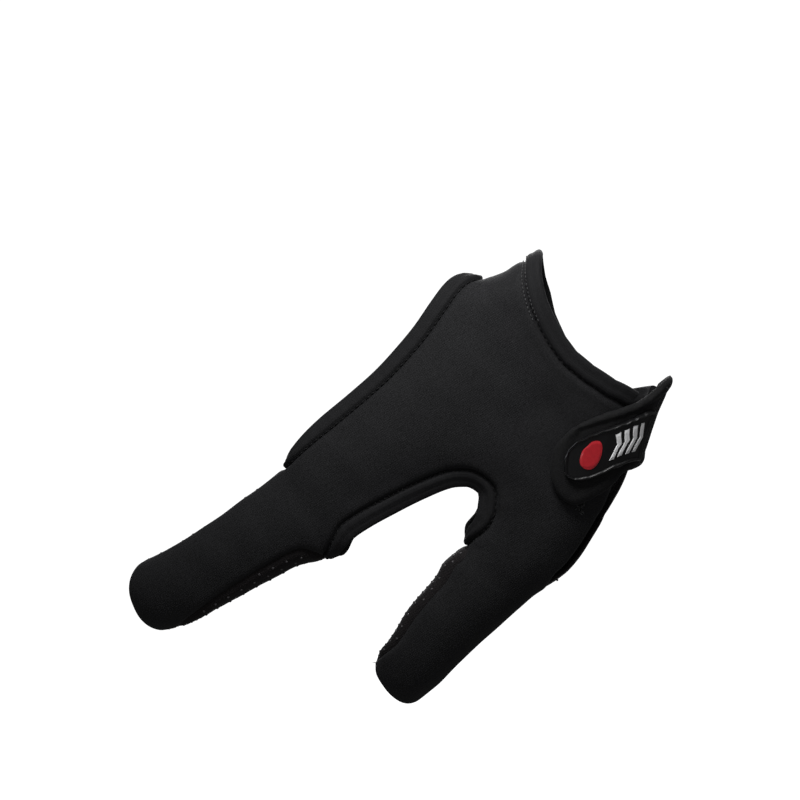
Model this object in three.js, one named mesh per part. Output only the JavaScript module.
// A right-hand fishing glove that covers the thumb and the forefinger, as a soft hollow form.
// Millimetres. X and Z lie in the plane of the hand, the back of the hand faces -Y,
// and the origin is the centre of the wrist opening.
import * as THREE from "three";

// Named sizes
const palmLength = 128.5;
const palmWidth = 90;
const indexLength = 72;
const indexWidth = 28;
const thumbLength = 88;
const thumbWidth = 28;
const strapLength = 45;
const strapWidth = 26;
const wall = 2;
const seamGap = 0.36;
const hemWidth = 6.5;
const hemCorner = 3.6;
const hemTaper = 16;
const fingerHemTaper = 30;
const webSpread = 0.8;
const webSwell = 7;
const hemProud = 0.5;
const hemPlay = 0.36;
const wristDepth = 21;
const palmDepth = 16.5;
const indexDepth = 13.4;
const thumbDepth = 15.7;
const fingerEdgeDepth = 13;
const fingerEdgeDepthEnd = 8;
const webEdgeDepth = 11;
const cornerRadius = 7.5;
const membraneReach = 10;
const indexFlex = 14;
const thumbFlex = 10;
const wristLift = 5;
const indexLap = 5.3;
const indexLapRows = 14.5;
const thumbLap = 3.5;
const thumbLapRows = 15;
const slitLapWrist = 13;
const slitLapEnd = 3;

// A frame turns shares along and across a named size into a point [x, z].
function frame(x, z, degrees, length, width) {
  const a = THREE.MathUtils.degToRad(degrees);
  const at = (along, across) => [
    x + along * length * Math.cos(a) - across * width * Math.sin(a),
    z + along * length * Math.sin(a) + across * width * Math.cos(a),
  ];
  return { at, table: (rows) => rows.map(([along, across]) => at(along, across)) };
}
const palm = frame(0, 0, 213, palmLength, palmWidth);
const index = frame(...palm.at(1.015, 0), 209.5, indexLength, indexWidth);
const thumb = frame(...palm.at(0.435, 0.531), 227, thumbLength, thumbWidth);
const strapFrame = frame(...palm.at(0.366, 0.4), 25, strapLength, strapWidth);

// Outlines: each row is [along, across], as shares of the frame's length and width.
const ulnarSeam = [[0.115, -0.364], [0.152, -0.37], [0.184, -0.372], [0.239, -0.39]];
const fingerEdge = [
  [0.239, -0.39], [0.259, -0.405], [0.285, -0.412], [0.324, -0.401], [0.382, -0.368], [0.46, -0.323],
  [0.541, -0.288], [0.622, -0.261], [0.711, -0.242], [0.804, -0.226], [0.902, -0.211], [0.995, -0.191],
];
const slitEdge = [[0.005, 0.363], [0.058, 0.414], [0.151, 0.523], [0.208, 0.589], [0.284, 0.653], [0.313, 0.673]];
const webEdge = [
  [0.553, 0.382], [0.543, 0.358], [0.536, 0.322], [0.539, 0.29], [0.547, 0.258], [0.561, 0.226], [0.584, 0.2],
  [0.609, 0.18], [0.637, 0.167], [0.673, 0.156], [0.735, 0.142], [0.799, 0.132], [0.869, 0.123], [0.932, 0.122],
  [0.964, 0.135], [0.997, 0.164], [1.033, 0.196],
];
const indexLeft = [
  [-0.02, -0.617], [0.13, -0.558], [0.251, -0.528], [0.375, -0.487], [0.494, -0.468], [0.613, -0.449],
  [0.728, -0.453], [0.799, -0.468],
];
const indexRight = [
  [0.024, 0.659], [0.148, 0.568], [0.26, 0.553], [0.374, 0.55], [0.488, 0.546], [0.602, 0.542], [0.716, 0.539],
  [0.825, 0.513], [0.885, 0.471],
];
const indexTip = [
  [0.799, -0.468], [0.871, -0.455], [0.935, -0.371], [0.976, -0.238], [0.995, -0.074], [0.999, 0.127],
  [0.978, 0.291], [0.935, 0.412], [0.885, 0.471],
];
const thumbOuterSlit = [[-0.138, 0.579], [-0.089, 0.619], [0.025, 0.689], [0.124, 0.714], [0.196, 0.679], [0.256, 0.627]];
const thumbOuter = [
  [0.256, 0.627], [0.319, 0.584], [0.484, 0.538], [0.593, 0.508], [0.706, 0.487], [0.824, 0.483], [0.905, 0.456],
];
const thumbInnerWeb = [
  [0.131, -0.596], [0.162, -0.517], [0.189, -0.48], [0.222, -0.46], [0.26, -0.47], [0.298, -0.497], [0.341, -0.502],
];
const thumbInner = [
  [0.341, -0.502], [0.443, -0.549], [0.513, -0.502], [0.611, -0.495], [0.689, -0.476], [0.748, -0.446],
  [0.829, -0.382], [0.896, -0.362], [0.946, -0.304],
];
const thumbTip = [
  [0.905, 0.456], [0.951, 0.432], [0.985, 0.374], [1.005, 0.272], [1.011, 0.116], [1.001, -0.055],
  [0.982, -0.199], [0.946, -0.304],
];
// Wrist edge: [share across the wrist, scoop of the back, scoop of the palm], scoops as shares of palmLength.
const wristScoop = [
  [0, 0, 0], [0.1, 0.033, 0.028], [0.18, 0.056, 0.046], [0.28, 0.083, 0.078], [0.39, 0.109, 0.104],
  [0.5, 0.134, 0.128], [0.61, 0.152, 0.142], [0.75, 0.155, 0.138], [0.9, 0.144, 0.09], [1, 0.121, 0.04],
];

// Strap outline, [along, across] in the strap's frame. Its right side follows the slit's silhouette.
const strapTop = [[0.27, 0.43], [0.394, 0.445], [0.527, 0.437], [0.64, 0.418], [0.76, 0.405], [0.878, 0.42]];
const strapEnd = [
  [0.27, 0.43], [0.155, 0.366], [0.072, 0.285], [-0.003, 0.13], [-0.058, -0.06], [-0.068, -0.21],
  [-0.05, -0.38], [0.008, -0.526],
];
const strapBottom = [[0.008, -0.526], [0.088, -0.55], [0.236, -0.53], [0.36, -0.46], [0.448, -0.386]];
const strapRightFrom = -1;
const strapRightTo = 4;
// Badge: [share round the strap, upper edge, lower edge], the edges as shares of the strap's width there.
const badgeEdges = [
  [0.083, 0.48, 0.58], [0.1, 0.375, 0.65], [0.14, 0.3, 0.72], [0.228, 0.265, 0.76], [0.41, 0.24, 0.785],
  [0.59, 0.255, 0.845], [0.71, 0.307, 0.868],
];

// Small vector helpers on arrays
const add = (a, b, s = 1) => a.map((v, i) => v + b[i] * s);
const sub = (a, b) => a.map((v, i) => v - b[i]);
const lerp = (a, b, t) => a.map((v, i) => v + (b[i] - v) * t);
const dot = (a, b) => a.reduce((s, v, i) => s + v * b[i], 0);
const norm = (a) => Math.sqrt(dot(a, a));
const unit = (a) => a.map((v) => v / (norm(a) || 1));
const cross = (a, b) => [a[1] * b[2] - a[2] * b[1], a[2] * b[0] - a[0] * b[2], a[0] * b[1] - a[1] * b[0]];
const range = (n) => Array.from({ length: n }, (_, i) => i);
const ramp = (a, b, x) => Math.min(1, Math.max(0, (x - a) / (b - a)));
const ease = (a, b, x) => ramp(a, b, x) ** 2 * (3 - 2 * ramp(a, b, x));

// The value of a list of points at a fractional place, by Catmull-Rom between neighbours.
function along(points, place) {
  const last = points.length - 1;
  const i = Math.min(last - 1, Math.max(0, Math.floor(place)));
  const t = place - i;
  const get = (k) => points[Math.min(last, Math.max(0, k))];
  const before = i > 0 ? get(i - 1) : sub(add(get(0), get(0)), get(1));
  const after = i + 2 <= last ? get(i + 2) : sub(add(get(last), get(last)), get(last - 1));
  const [a, b, c, d] = [before, get(i), get(i + 1), after];
  return b.map(
    (v, k) =>
      v + 0.5 * t * (c[k] - a[k] + t * (2 * a[k] - 5 * v + 4 * c[k] - d[k] + t * (3 * (v - c[k]) + d[k] - a[k]))),
  );
}
// n + 1 points on the curve through a list of points, spaced by length at the shares pace(0..1).
function spaced(points, n, pace = (x) => x) {
  const fine = range((points.length - 1) * 24 + 1).map((i) => along(points, i / 24));
  const sums = [0];
  for (let i = 1; i < fine.length; i++) sums.push(sums[i - 1] + norm(sub(fine[i], fine[i - 1])));
  const total = sums[sums.length - 1];
  return range(n + 1).map((i) => {
    const want = pace(i / n) * total;
    const k = Math.min(sums.length - 2, Math.max(0, sums.findIndex((s) => s >= want - 1e-9) - 1));
    return lerp(fine[k], fine[k + 1], (want - sums[k]) / (sums[k + 1] - sums[k]));
  });
}
// The columns of a table between its rows.
function lookUp(table, x) {
  const k = Math.min(table.length - 2, Math.max(0, table.findIndex((r) => r[0] >= x) - 1));
  return lerp(table[k], table[k + 1], (x - table[k][0]) / (table[k + 1][0] - table[k][0]));
}

// The plan of the glove: a main strip of rows from the wrist to the fingertip, and a thumb strip beside it.
const columns = 12;
const ulnarRows = 4;
const wristRows = 7;
const baseRows = 8;
const webRows = 16;
const indexRows = 16;
const edgeRows = wristRows - ulnarRows + baseRows + webRows;
const webTop = wristRows + baseRows;
const indexTop = webTop + webRows;
const rows = indexTop + indexRows;
const thumbWebRows = 5;
const thumbSlitRows = 7;
const thumbRows = 21;

const cosine = (x) => 0.5 - 0.5 * Math.cos(Math.PI * x);
const columnShare = range(columns + 1).map((j) => 0.35 * (j / columns) + 0.65 * cosine(j / columns));
const thumbShare = range(baseRows + 1).map((m) => 0.5 * (m / baseRows) + 0.5 * cosine(m / baseRows));
const denseEnd = (x) => 0.55 * x + 0.45 * Math.sin((Math.PI / 2) * x);
const denseEnds = (x) => 0.6 * x + 0.4 * cosine(x);
const denseTip = (x) => 0.62 * x + 0.38 * Math.sin((Math.PI / 2) * x);

const left = [
  ...spaced(palm.table(ulnarSeam), ulnarRows).slice(0, -1),
  ...spaced(palm.table(fingerEdge), edgeRows, denseEnds).slice(0, -1),
  ...spaced(index.table(indexLeft), indexRows, denseTip),
];
const slitPoints = spaced(palm.table(slitEdge), wristRows);
const webPoints = spaced(palm.table(webEdge), webRows, denseEnd);
const right = [
  ...slitPoints,
  ...range(baseRows - 1).map((m) => lerp(slitPoints[wristRows], webPoints[0], thumbShare[m + 1])),
  ...webPoints,
  ...spaced(index.table(indexRight), indexRows, denseTip).slice(1),
];
const denseArc = (x) => 0.45 * x + 0.55 * cosine(x);
const indexArc = spaced(index.table(indexTip), columns, denseArc);
const outer = [
  ...spaced(thumb.table(thumbOuterSlit), thumbSlitRows).slice(0, -1),
  ...spaced(thumb.table(thumbOuter), thumbRows - thumbSlitRows, denseTip),
];
const inner = [
  ...spaced(thumb.table(thumbInnerWeb), thumbWebRows, denseEnd).slice(0, -1),
  ...spaced(thumb.table(thumbInner), thumbRows - thumbWebRows, denseTip),
];
const thumbArc = spaced(thumb.table(thumbTip), baseRows, denseArc);

const id = (i, j) => i * (columns + 1) + j;
const mainCount = (rows + 1) * (columns + 1);
const idT = (k, m) => (k === 0 ? id(wristRows + m, columns) : mainCount + (k - 1) * (baseRows + 1) + m);
const vertexCount = mainCount + thumbRows * (baseRows + 1);

const plan = new Array(vertexCount);
for (let i = 0; i <= rows; i++)
  for (let j = 0; j <= columns; j++) {
    const bow = ramp(rows - 7, rows, i) ** 2;
    const straight = lerp(left[rows], right[rows], columnShare[j]);
    const swell = webSwell * Math.exp(-(((i - webTop) / (i < webTop ? 5 : 0.6)) ** 2));
    const lean = ramp(0, 0.065, 1 - columnShare[j]) * ease(0, 0.9, columnShare[j]);
    const point = add(lerp(left[i], right[i], columnShare[j]), sub(indexArc[j], straight), bow);
    plan[id(i, j)] = add(point, [0.9, 0.43], swell * lean);
  }
for (let k = 1; k <= thumbRows; k++)
  for (let m = 0; m <= baseRows; m++) {
    const bow = ramp(thumbRows - 6, thumbRows, k) ** 2;
    const straight = lerp(outer[thumbRows], inner[thumbRows], thumbShare[m]);
    plan[idT(k, m)] = add(lerp(outer[k], inner[k], thumbShare[m]), sub(thumbArc[m], straight), bow);
  }

const triangles = [];
const quad = (a, b, c, d) => triangles.push([a, b, c], [a, c, d]);
for (let i = 0; i < rows; i++)
  for (let j = 0; j < columns; j++) quad(id(i, j), id(i + 1, j), id(i + 1, j + 1), id(i, j + 1));
for (let k = 0; k < thumbRows; k++)
  for (let m = 0; m < baseRows; m++) quad(idT(k, m), idT(k, m + 1), idT(k + 1, m + 1), idT(k + 1, m));

// The edges: seams where the two panels meet, and openings where they stand apart.
const seam = new Set();
for (let i = 0; i <= rows; i++) {
  if (i <= ulnarRows || i >= indexTop) seam.add(id(i, 0));
  if (i >= indexTop) seam.add(id(i, columns));
}
for (let j = 0; j <= columns; j++) seam.add(id(rows, j));
for (let k = 1; k <= thumbRows; k++) {
  if (k >= thumbSlitRows) seam.add(idT(k, 0));
  if (k >= thumbWebRows) seam.add(idT(k, baseRows));
}
for (let m = 0; m <= baseRows; m++) seam.add(idT(thumbRows, m));
const fingerIds = range(indexTop - ulnarRows + 1).map((n) => id(ulnarRows + n, 0));
const webIds = [
  ...range(webRows + 1).map((n) => id(indexTop - n, columns)),
  ...range(thumbWebRows).map((n) => idT(n + 1, baseRows)),
];
const slitIds = [...range(wristRows + 1).map((i) => id(i, columns)), ...range(thumbSlitRows).map((k) => idT(k + 1, 0))];

// Half depth squared, u: a membrane held on the edges and drawn to depth squared over membraneReach.
const held = new Map();
for (const v of [...seam, ...slitIds]) held.set(v, (seamGap / 2) ** 2);
function holdEdge(ids, startDepth, endDepth) {
  const sums = [0];
  for (let n = 1; n < ids.length; n++) sums.push(sums[n - 1] + norm(sub(plan[ids[n]], plan[ids[n - 1]])));
  const total = sums[sums.length - 1];
  ids.forEach((v, n) => {
    const depth = startDepth + ((endDepth - startDepth) * sums[n]) / total;
    const reach = Math.min(sums[n], total - sums[n]);
    held.set(v, depth ** 2 * (1 - Math.exp((-2 * cornerRadius * reach) / depth ** 2)) + (seamGap / 2) ** 2);
  });
}
holdEdge(fingerIds, fingerEdgeDepth, fingerEdgeDepthEnd);
holdEdge(webIds, webEdgeDepth, webEdgeDepth);

const target = new Array(vertexCount).fill(palmDepth ** 2);
const middle = new Array(vertexCount).fill(0);
for (let i = 0; i <= rows; i++)
  for (let j = 0; j <= columns; j++) {
    const wristward = 1 - ramp(0, wristRows + 2, i);
    const depth =
      palmDepth + (wristDepth - palmDepth) * wristward + (indexDepth - palmDepth) * ease(webTop, indexTop, i);
    target[id(i, j)] = depth ** 2;
    middle[id(i, j)] = indexFlex * ramp(indexTop - 4, rows, i) ** 2 + wristLift * (1 - wristward ** 2);
  }
for (let k = 1; k <= thumbRows; k++)
  for (let m = 0; m <= baseRows; m++) {
    target[idT(k, m)] = (palmDepth + (thumbDepth - palmDepth) * ramp(0, 5, k)) ** 2;
    middle[idT(k, m)] = thumbFlex * (k / thumbRows) ** 2 + wristLift;
  }

const area = new Array(vertexCount).fill(0);
const links = range(vertexCount).map(() => new Map());
for (const tri of triangles)
  for (let n = 0; n < 3; n++) {
    const [a, b, c] = [tri[n], tri[(n + 1) % 3], tri[(n + 2) % 3]];
    const [p, q] = [sub(plan[a], plan[c]), sub(plan[b], plan[c])];
    const doubled = Math.abs(p[0] * q[1] - p[1] * q[0]);
    const weight = Math.max(0.02, dot(p, q) / doubled) / 2;
    links[a].set(b, (links[a].get(b) || 0) + weight);
    links[b].set(a, (links[b].get(a) || 0) + weight);
    area[c] += doubled / 6;
  }
const u = target.map((v, n) => (held.has(n) ? held.get(n) : v * 0.6));
for (let pass = 0; pass < 700; pass++)
  for (let v = 0; v < vertexCount; v++) {
    if (held.has(v)) continue;
    const pull = area[v] / membraneReach ** 2;
    let sum = pull * target[v];
    let weights = pull;
    for (const [w, weight] of links[v]) {
      sum += weight * u[w];
      weights += weight;
    }
    u[v] = sum / weights;
  }

// The two sheets as they stand before the seams are moved: side -1 is the back, +1 the palm.
const baseAt = (v, side) => [plan[v][0], middle[v] + side * Math.sqrt(u[v]), plan[v][1]];

// A row as a ring: the back from left to right, then the palm back to the left.
function ringOf(ids, closed) {
  const back = ids.map((v) => baseAt(v, -1));
  const front = ids.map((v) => baseAt(v, 1)).reverse();
  if (!closed) return back;
  const turn = lerp(back[back.length - 1], front[0], 0.5);
  return [...back.slice(0, -1), turn, ...front.slice(1)];
}
// How many places in from the end of a row a lap of some millimetres reaches.
function lapPlaces(lap, width, shares) {
  const count = shares.length - 1;
  const want = Math.min(0.5, lap / width);
  const k = Math.min(count - 1, Math.max(0, shares.findIndex((s) => s >= want - 1e-9) - 1));
  return k + (want - shares[k]) / (shares[k + 1] - shares[k]);
}

const backSheet = range(vertexCount).map((v) => baseAt(v, -1));
const palmSheet = range(vertexCount).map((v) => baseAt(v, 1));
function lapRow(ids, startLap, endLap, endClosed) {
  const count = ids.length - 1;
  const ring = ringOf(ids, endClosed);
  const width = norm(sub(plan[ids[0]], plan[ids[count]]));
  const shares = count === columns ? columnShare : thumbShare;
  const start = lapPlaces(startLap, width, shares);
  const end = lapPlaces(endLap, width, shares);
  const place = count - end;
  const speed = norm(sub(along(ring, place), along(ring, place - 0.1))) / 0.1;
  const half = endClosed ? seamGap / 2 / speed : 0;
  ids.forEach((v, n) => {
    if (start > 0 || end > 0 || endClosed) backSheet[v] = along(ring, start + (n / count) * (place - half - start));
    if (endClosed) palmSheet[v] = along(ring, 2 * count - (n / count) * (2 * count - place - half));
  });
}
const slitLap = (i) => slitLapEnd + (slitLapWrist - slitLapEnd) * (1 - ramp(0, wristRows, i)) ** 1.3;
for (let i = 0; i <= rows; i++) {
  const ids = range(columns + 1).map((j) => id(i, j));
  if (i <= wristRows) lapRow(ids, 0, slitLap(i), false);
  else if (i < webTop) lapRow(ids, 0, slitLapEnd * (1 - ramp(wristRows, webTop, i)), false);
  else if (i >= indexTop && i < rows)
    lapRow(ids, 0, indexLap * ease(-0.5, 1.5, i - indexTop) * (1 - ramp(0, indexLapRows, i - indexTop) ** 2.8), true);
}
for (let k = 1; k < thumbRows; k++) {
  const ids = range(baseRows + 1).map((m) => idT(k, m));
  const outerLap = slitLapEnd * (1 - ease(thumbSlitRows - 2, thumbSlitRows, k));
  const run = k - thumbWebRows;
  const innerLap = thumbLap * ease(-0.5, 1.5, run) * (1 - ramp(0, thumbLapRows, run) ** 5);
  if (k < thumbSlitRows || k >= thumbWebRows) lapRow(ids, outerLap, innerLap, k >= thumbWebRows);
}
// The wrist edge is scooped: each column of the wrist rows is drawn again from its scooped start.
for (const [sheet, field] of [[backSheet, 1], [palmSheet, 2]])
  for (let j = 0; j <= columns; j++) {
    const line = range(wristRows + 3).map((i) => sheet[id(i, j)]);
    const length = norm(sub(line[0], line[wristRows]));
    const start = (lookUp(wristScoop, columnShare[j])[field] * palmLength * wristRows) / length;
    for (let i = 0; i <= wristRows; i++) sheet[id(i, j)] = along(line, start + ((wristRows - start) * i) / wristRows);
  }

// Outward normals of both sheets, shared along the seams so that the two rims face each other.
function normalsOf(sheet, tris) {
  const sums = sheet.map(() => [0, 0, 0]);
  for (const [a, b, c] of tris) {
    const face = unit(cross(sub(sheet[b], sheet[a]), sub(sheet[c], sheet[a])));
    for (const [v, p, q] of [[a, b, c], [b, c, a], [c, a, b]]) {
      const cosAngle = dot(unit(sub(sheet[p], sheet[v])), unit(sub(sheet[q], sheet[v])));
      sums[v] = add(sums[v], face, Math.acos(Math.min(1, Math.max(-1, cosAngle))));
    }
  }
  return sums.map(unit);
}
const palmTriangles = triangles.map(([a, b, c]) => [a, c, b]);
const backNormals = normalsOf(backSheet, triangles);
const palmNormals = normalsOf(palmSheet, palmTriangles);
for (const v of seam) {
  const shared = unit(add(backNormals[v], palmNormals[v]));
  backNormals[v] = shared;
  palmNormals[v] = shared;
}

// Solids
function geometryOf(vertices, faces) {
  const g = new THREE.BufferGeometry();
  g.setAttribute("position", new THREE.Float32BufferAttribute(vertices.flat(), 3));
  g.setIndex(faces.flat());
  return g;
}
// A sheet with thickness: outer surface, inner surface and the rim that joins them.
function shell(outerPoints, innerPoints, tris) {
  const n = outerPoints.length;
  const count = new Map();
  for (const [a, b, c] of tris)
    for (const [p, q] of [[a, b], [b, c], [c, a]]) count.set(p + "," + q, [p, q]);
  const faces = [];
  for (const [a, b, c] of tris) faces.push([a, b, c], [n + a, n + c, n + b]);
  for (const [p, q] of count.values())
    if (!count.has(q + "," + p)) {
      // the same diagonal on both panels, so that two rims that face each other stay parallel
      if (q > p) faces.push([q, p, n + p], [q, n + p, n + q]);
      else faces.push([q, p, n + q], [p, n + p, n + q]);
    }
  return geometryOf([...outerPoints, ...innerPoints], faces);
}
// A band swept along a list of stations {p, n, c}: point, surface normal, direction away from the panel.
const bandSection = (w) => [
  [0, -wall - 0.2], [0, 0.2], [0.8, hemProud], [w - 1.3, hemProud], [w, -0.35], [w, -wall + 0.35],
  [w - 1.3, -wall - hemProud], [0.8, -wall - hemProud],
];
function band(stations, closed) {
  const vertices = [];
  const faces = [];
  const count = stations.length;
  for (const { p, n, c, w } of stations)
    for (const [out, up] of bandSection(w)) vertices.push(add(add(p, c, hemPlay + out), n, up));
  const at = (s, k) => (s % count) * 8 + (k % 8);
  for (let s = 0; s < (closed ? count : count - 1); s++)
    for (let k = 0; k < 8; k++) {
      faces.push([at(s, k), at(s + 1, k + 1), at(s + 1, k)], [at(s, k), at(s, k + 1), at(s + 1, k + 1)]);
    }
  if (!closed)
    for (let k = 1; k < 7; k++) {
      faces.push([at(0, 0), at(0, k + 1), at(0, k)]);
      faces.push([at(count - 1, 0), at(count - 1, k), at(count - 1, k + 1)]);
    }
  return geometryOf(vertices, faces);
}
// Stations along an edge that runs over the back sheet and returns over the palm sheet.
// The panels take the stations' normals there, so that panel rim and hem face each other.
// spread turns the normals towards the plan's own, away from the corners, so that a hem lies flatter.
function stationsOf(ids, closed, spread, widthAt) {
  const back = ids.map((v) => ({ p: backSheet[v], n: backNormals[v], owners: [[backNormals, v]] }));
  const front = ids.map((v) => ({ p: palmSheet[v], n: palmNormals[v], owners: [[palmNormals, v]] })).reverse();
  const join = (a, b) => ({ p: lerp(a.p, b.p, 0.5), n: unit(add(a.n, b.n)), owners: [...a.owners, ...b.owners] });
  let list = [...back.slice(0, -1), join(back[back.length - 1], front[0]), ...front.slice(1)];
  if (closed) list = [join(list[0], list[list.length - 1]), ...list.slice(1, -1)];
  const count = list.length;
  const pick = (k) => (closed ? list[(k + count) % count] : list[Math.min(count - 1, Math.max(0, k))]);
  for (let pass = 0; pass < 2; pass++) {
    const smooth = list.map((s, k) => unit(add(add(pick(k - 1).n, pick(k + 1).n), s.n, 2)));
    list.forEach((s, k) => (s.n = smooth[k]));
  }
  const half = count / 2;
  const corner = (k) => Math.min(k, count - k, Math.abs(k - half));
  list.forEach((s, k) => (s.n = unit(add(s.n, [0, k < half ? -1 : 1, 0], spread * ease(0, 5, corner(k))))));
  const steps = list.map((s, k) => norm(sub(pick(k + 1).p, s.p)));
  const lengthOf = (from, to) => steps.slice(from, to).reduce((a, b) => a + b, 0);
  return list.map((s, k) => {
    const t = unit(add(unit(sub(pick(k + 1).p, s.p)), unit(sub(s.p, pick(k - 1).p))));
    const n = unit(add(s.n, t, -dot(s.n, t)));
    for (const [normals, v] of s.owners) normals[v] = n;
    const near = k < half ? [lengthOf(0, k), lengthOf(k, half)] : [lengthOf(k, count), lengthOf(half, k)];
    return { p: s.p, n, c: cross(t, n), w: widthAt(...near) };
  });
}

const root = new THREE.Group();
root.name = "fishing_glove";
const looks = {
  fabric: new THREE.MeshStandardMaterial({ color: 0x1c1c1e, roughness: 0.85 }),
  palmFabric: new THREE.MeshStandardMaterial({ color: 0x19181a, roughness: 0.9 }),
  hook: new THREE.MeshStandardMaterial({ color: 0x111111, roughness: 0.95 }),
  rubber: new THREE.MeshStandardMaterial({ color: 0x08080a, roughness: 0.25 }),
  red: new THREE.MeshStandardMaterial({ color: 0xb3121a, roughness: 0.3 }),
  white: new THREE.MeshStandardMaterial({ color: 0xe8e8e8, roughness: 0.3 }),
};
function put(name, geometry, look) {
  const mesh = new THREE.Mesh(geometry, look);
  mesh.name = name;
  root.add(mesh);
}
// The width of a hem, from how far it has come from its start corner and how far it is from its end corner.
const taper = (startReach, endReach) => (fromStart, toEnd) =>
  hemCorner + (hemWidth - hemCorner) * Math.min(ease(0, startReach, fromStart), ease(0, endReach, toEnd));
const fingerStations = stationsOf(fingerIds, true, 0, taper(hemTaper, fingerHemTaper));
const webStations = stationsOf(webIds, true, webSpread, taper(hemTaper, hemTaper));
const wristIds = range(columns + 1).map((j) => id(0, columns - j));
const wristStations = stationsOf(wristIds, false, 0, () => hemWidth);

const inward = (sheet, normals) => sheet.map((p, v) => add(p, normals[v], -wall));
put("back_panel", shell(backSheet, inward(backSheet, backNormals), triangles), looks.fabric);
put("palm_panel", shell(palmSheet, inward(palmSheet, palmNormals), palmTriangles), looks.palmFabric);

put("finger_hem", band(fingerStations, true), looks.fabric);
put("web_hem", band(webStations, true), looks.fabric);
put("wrist_hem", band(wristStations, false), looks.fabric);

// The strap lies on the back sheet and turns round the silhouette onto the palm sheet.
// Two rows beyond the wrist edge carry the sheet on, since the strap's corner reaches over the hem.
const carried = [];
for (let r = 0; r <= wristRows + baseRows; r++)
  for (let j = 0; j <= columns; j++) {
    const beyond = Math.max(0, 2 - r);
    const v = id(Math.max(0, r - 2), j);
    const next = id(1, j);
    carried.push({ at: add(plan[v], sub(plan[v], plan[next]), beyond), mid: middle[v], u: u[v] });
  }
const cells = [];
for (let r = 0; r < wristRows + baseRows; r++)
  for (let j = 0; j < columns; j++) {
    const a = r * (columns + 1) + j;
    cells.push([a, a + columns + 1, a + columns + 2], [a, a + columns + 2, a + 1]);
  }
function sheetAt([x, z], side) {
  let best = null;
  let worst = -Infinity;
  for (const cell of cells) {
    const [p, q, r] = cell.map((v) => carried[v].at);
    const d = (q[0] - p[0]) * (r[1] - p[1]) - (q[1] - p[1]) * (r[0] - p[0]);
    const s = ((x - p[0]) * (r[1] - p[1]) - (z - p[1]) * (r[0] - p[0])) / d;
    const t = ((q[0] - p[0]) * (z - p[1]) - (q[1] - p[1]) * (x - p[0])) / d;
    const least = Math.min(s, t, 1 - s - t);
    if (least > worst) {
      worst = least;
      best = { cell, shares: [1 - s - t, s, t].map((v) => Math.min(1, Math.max(0, v))) };
    }
    if (least >= 0) break;
  }
  const blend = (field) => best.cell.reduce((sum, v, n) => sum + carried[v][field] * best.shares[n], 0);
  return [x, blend("mid") + side * Math.sqrt(Math.max(0, blend("u"))), z];
}
const silhouette = range(wristRows + 4).map((r) => carried[r * (columns + 1) + columns].at);
const rightSide = (b) => along(silhouette, 2 + strapRightFrom + (strapRightTo - strapRightFrom) * b);
const topSide = spaced([...strapFrame.table(strapTop), rightSide(0)], 40);
const bottomSide = spaced([...strapFrame.table(strapBottom), rightSide(1)], 40);
const endSide = spaced(strapFrame.table(strapEnd), 40);
function strapAt(a, b) {
  const s = Math.sin((Math.PI / 2) * Math.min(a, 2 - a));
  const across = lerp(along(topSide, s * 40), along(bottomSide, s * 40), b);
  const round = lerp(along(endSide, b * 40), rightSide(b), s);
  const corner = lerp(lerp(topSide[0], topSide[40], s), lerp(bottomSide[0], bottomSide[40], s), b);
  return sheetAt(sub(add(across, round), corner), a <= 1 ? -1 : 1);
}
const softStep = 0.05;
function strapPlace(a, b, height) {
  const low = (x) => Math.max(0, x - softStep);
  const high = (x) => Math.min(1, x + softStep);
  const da = sub(strapAt(a + softStep, b), strapAt(Math.max(0, a - softStep), b));
  const db = sub(strapAt(a, high(b)), strapAt(a, low(b)));
  const p = strapAt(a, b);
  return add(p, unit(cross(db, da)), height);
}
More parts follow.
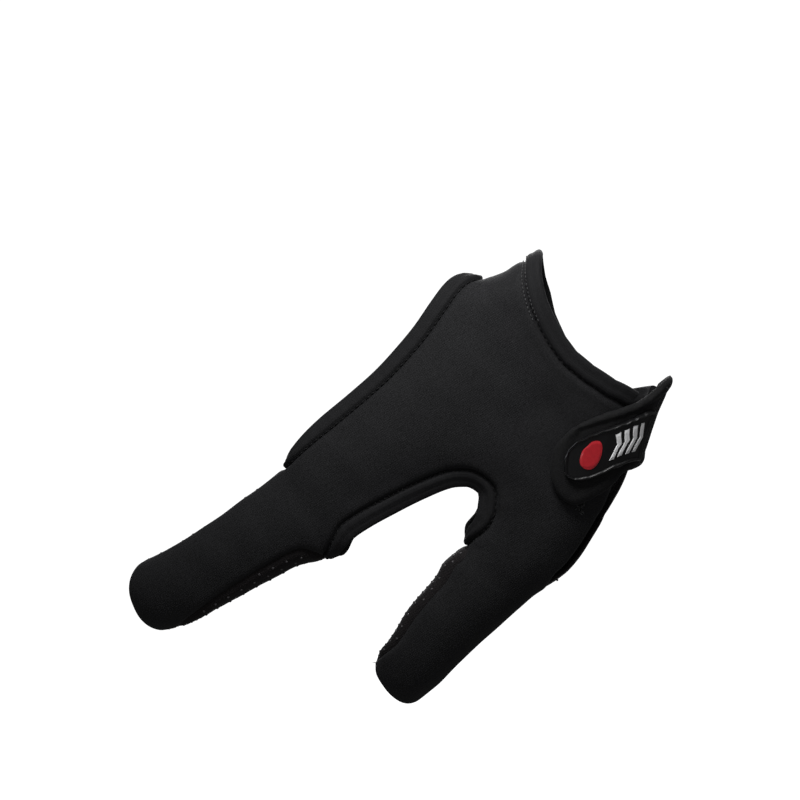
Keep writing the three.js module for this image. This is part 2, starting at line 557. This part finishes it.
// A patch of na by nb cells between two heights over the strap's ground; where(s, t) gives [a, b].
function patch(na, nb, where, lowAt, highAt) {
  const places = [];
  for (let i = 0; i <= na; i++) for (let j = 0; j <= nb; j++) places.push([i / na, j / nb]);
  const tris = [];
  for (let i = 0; i < na; i++)
    for (let j = 0; j < nb; j++) {
      const a = i * (nb + 1) + j;
      tris.push([a, a + 1, a + nb + 2], [a, a + nb + 2, a + nb + 1]);
    }
  const layer = (heightAt) => places.map(([s, t]) => strapPlace(...where(s, t), heightAt(s, t)));
  return shell(layer(highAt), layer(lowAt), tris);
}
const strapReach = 1.3;
const rimShare = (s, t) => Math.min(ease(0, 0.14, s), ease(0, 0.2, t), ease(0, 0.2, 1 - t));
const flatShare = (s) => 1 - ease(0.45, 0.7, s);
put(
  "strap",
  patch(
    20, 8,
    (s, t) => [s * strapReach, t],
    (s, t) => 1 + 0.75 * rimShare(s, t) * flatShare(s),
    (s, t) => 2.7 + 0.7 * rimShare(s, t) + 0.25 * flatShare(s),
  ),
  looks.fabric,
);
put("hook_patch", patch(6, 6, (s, t) => [0.1 + 0.3 * s, 0.24 + 0.52 * t], () => 0.35, () => 1.35), looks.hook);
const badgePlace = (s, t) => {
  const a = 0.083 + 0.627 * s;
  const [, upper, lower] = lookUp(badgeEdges, a);
  return [a, upper + (lower - upper) * t];
};
const inset = (s, t) => Math.min(s * 12, (1 - s) * 12, t * 6, (1 - t) * 6);
put(
  "badge",
  patch(
    14, 6, badgePlace,
    () => 4,
    (s, t) => 4.8 + 0.5 * ease(0, 0.7, inset(s, t)) - 0.25 * ease(0.8, 1.5, inset(s, t)),
  ),
  looks.rubber,
);
const markLow = 5.35;
const markHigh = 5.75;
put(
  "badge_disc",
  patch(
    6, 6,
    (s, t) => {
      const x = 2 * s - 1;
      const y = 2 * t - 1;
      return badgePlace(0.26 + 0.11 * x * Math.sqrt(1 - (y * y) / 2), 0.5 + 0.3 * y * Math.sqrt(1 - (x * x) / 2));
    },
    () => markLow, () => markHigh,
  ),
  looks.red,
);
for (const n of [1, 2, 3, 4])
  put(
    "badge_chevron_" + n,
    patch(
      2, 6,
      (s, t) => badgePlace(0.36 + 0.11 * n + 0.06 * s + 0.07 * (1 - Math.abs(2 * t - 1)), 0.22 + 0.56 * t),
      () => markLow, () => markHigh,
    ),
    looks.white,
  );

export default root;
